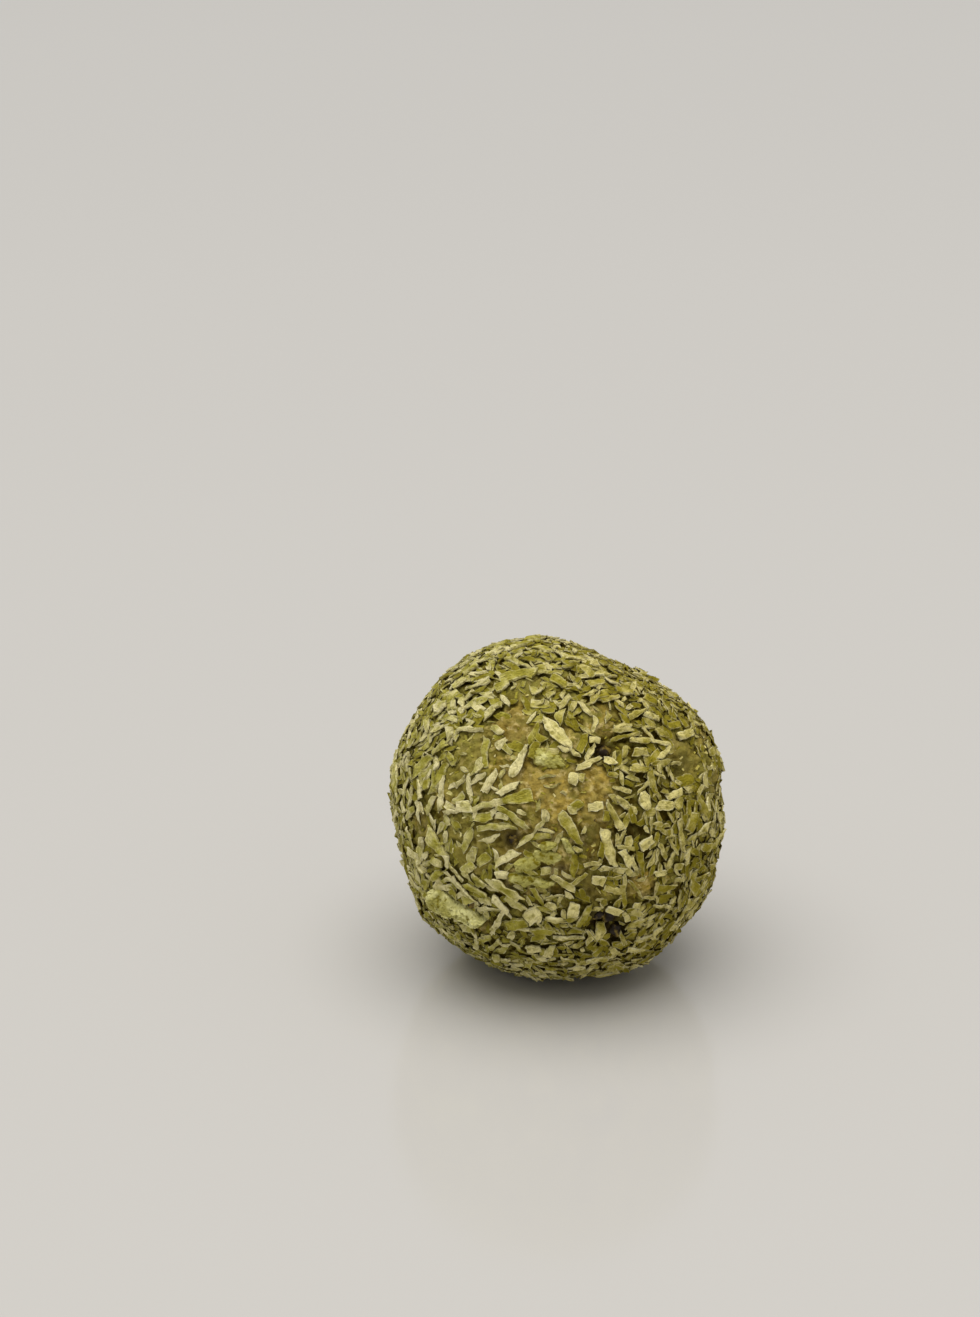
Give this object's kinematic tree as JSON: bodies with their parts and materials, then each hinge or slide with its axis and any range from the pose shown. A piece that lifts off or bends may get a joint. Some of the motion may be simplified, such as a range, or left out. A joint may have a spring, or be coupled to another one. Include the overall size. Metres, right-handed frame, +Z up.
{
  "type": "protein ball",
  "caption": "Hand-rolled ball of sticky date and nut dough, coated all over in green desiccated coconut flakes, resting on a small flat foot.",
  "frame": {"origin": "middle of the ball's outline at the level of the small flat foot that it rests on", "axes": "+Z up from the foot, -Y towards the front that the picture shows, +X to the right of that front"},
  "size_m": [0.0422, 0.0427, 0.0414],
  "materials": {
    "coconut_coat": "dry, matt desiccated coconut dusted with green tea, pale yellow-green",
    "dough": "sticky olive-brown dough, slightly moist where it shows between the flakes",
    "dark_bits": "very dark brown pieces of date in the pits of the dough"
  },
  "bodies": {
    "root": {"protein_ball": "coconut_coat"}
  },
  "joints": []
}
